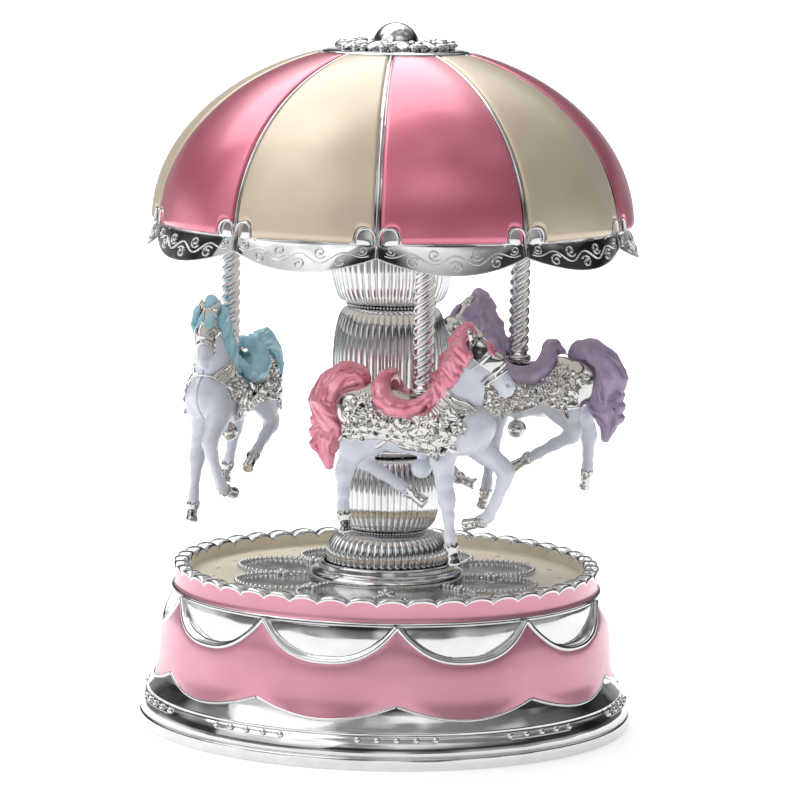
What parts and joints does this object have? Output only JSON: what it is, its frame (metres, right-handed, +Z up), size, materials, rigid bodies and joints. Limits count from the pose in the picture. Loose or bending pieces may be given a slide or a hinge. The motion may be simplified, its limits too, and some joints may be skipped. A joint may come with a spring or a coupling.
{
  "type": "carousel music box",
  "caption": "Wind-up carousel music box: horses on twisted poles turn with a fluted column and a panelled umbrella canopy above a round chromed base.",
  "frame": {"origin": "centre of the base's underside, on the table", "axes": "+Z up along the spindle that the carousel turns about; -Y towards the front, where the first horse stands"},
  "size_m": [0.1256, 0.1256, 0.178],
  "materials": {
    "drum": "pink pearl paint on chrome-plated plastic, with bare plated swags, scallops and foot",
    "deck": "cream and pink paint on chrome-plated plastic",
    "canopy": "pink and cream pearl paint in alternate panels on chrome-plated plastic",
    "plating": "mirror chrome plating on plastic",
    "ceiling": "satin",
    "cover": "satin black",
    "horse": "white pearl paint with chrome-plated harness",
    "tail_pink": "pink paint, glossy",
    "tail_lilac": "lilac paint, satin",
    "tail_blue": "blue paint, satin",
    "steel": "bright",
    "brass": "turned",
    "zinc": "die casting",
    "spring": "blued spring steel"
  },
  "bodies": {
    "base": {"drum_shell": "drum", "deck": "deck", "deck_collar": "plating", "spindle_bush": "brass", "base_plate": "cover", "base_screw_1": "steel", "base_screw_2": "steel", "base_screw_3": "steel", "base_screw_4": "steel", "movement_bedplate": "zinc", "bedplate_screw_1": "steel", "bedplate_screw_2": "steel", "comb": "steel", "comb_screw_1": "steel", "comb_screw_2": "steel", "governor_bridge": "zinc", "bridge_screw": "steel"},
    "carousel": {"spring_barrel": "brass", "great_wheel": "brass", "mainspring": "spring", "spindle": "steel", "column_bowl": "plating", "column_lower_vase": "plating", "column_ring": "plating", "column_upper_vase": "plating", "column_capital": "plating", "canopy_ceiling": "ceiling", "canopy_spacer": "brass", "canopy_shell": "canopy", "canopy_crown": "plating", "finial_ball": "plating", "pink_horse_left_half": "horse", "pink_horse_right_half": "horse", "pink_horse_tail": "tail_pink", "pink_horse_pole": "plating", "lilac_horse_left_half": "horse", "lilac_horse_right_half": "horse", "lilac_horse_tail": "tail_lilac", "lilac_horse_pole": "plating", "blue_horse_left_half": "horse", "blue_horse_right_half": "horse", "blue_horse_tail": "tail_blue", "blue_horse_pole": "plating"},
    "cylinder": {"music_cylinder": "brass"},
    "governor_train": {"governor_wheel": "brass"},
    "governor_fly": {"governor_fly": "steel"},
    "winding": {"winding_arbor": "steel", "winding_key": "brass"}
  },
  "joints": [
    {"name": "carousel_spin", "type": "hinge", "parent": "base", "child": "carousel", "pos_m": [0, 0, 0.036], "axis": [0, 0, 1], "continuous": true},
    {"name": "cylinder_spin", "type": "hinge", "parent": "base", "child": "cylinder", "pos_m": [0.028, 0, 0.02233], "axis": [1, 0, 0], "continuous": true},
    {"name": "governor_train_spin", "type": "hinge", "parent": "base", "child": "governor_train", "pos_m": [0, -0.02115, 0.018], "axis": [0, 0, 1], "continuous": true},
    {"name": "governor_fly_spin", "type": "hinge", "parent": "base", "child": "governor_fly", "pos_m": [0, -0.0287, 0.01995], "axis": [1, 0, 0], "continuous": true},
    {"name": "key_winding", "type": "hinge", "parent": "base", "child": "winding", "pos_m": [0, 0, 0.012], "axis": [0, 0, -1], "range_deg": [0, 1350]}
  ],
  "couplings": [
    {"joint": "cylinder_spin", "follows": "carousel_spin", "ratio": 3},
    {"joint": "governor_train_spin", "follows": "carousel_spin", "ratio": -4},
    {"joint": "governor_fly_spin", "follows": "carousel_spin", "ratio": 96}
  ]
}
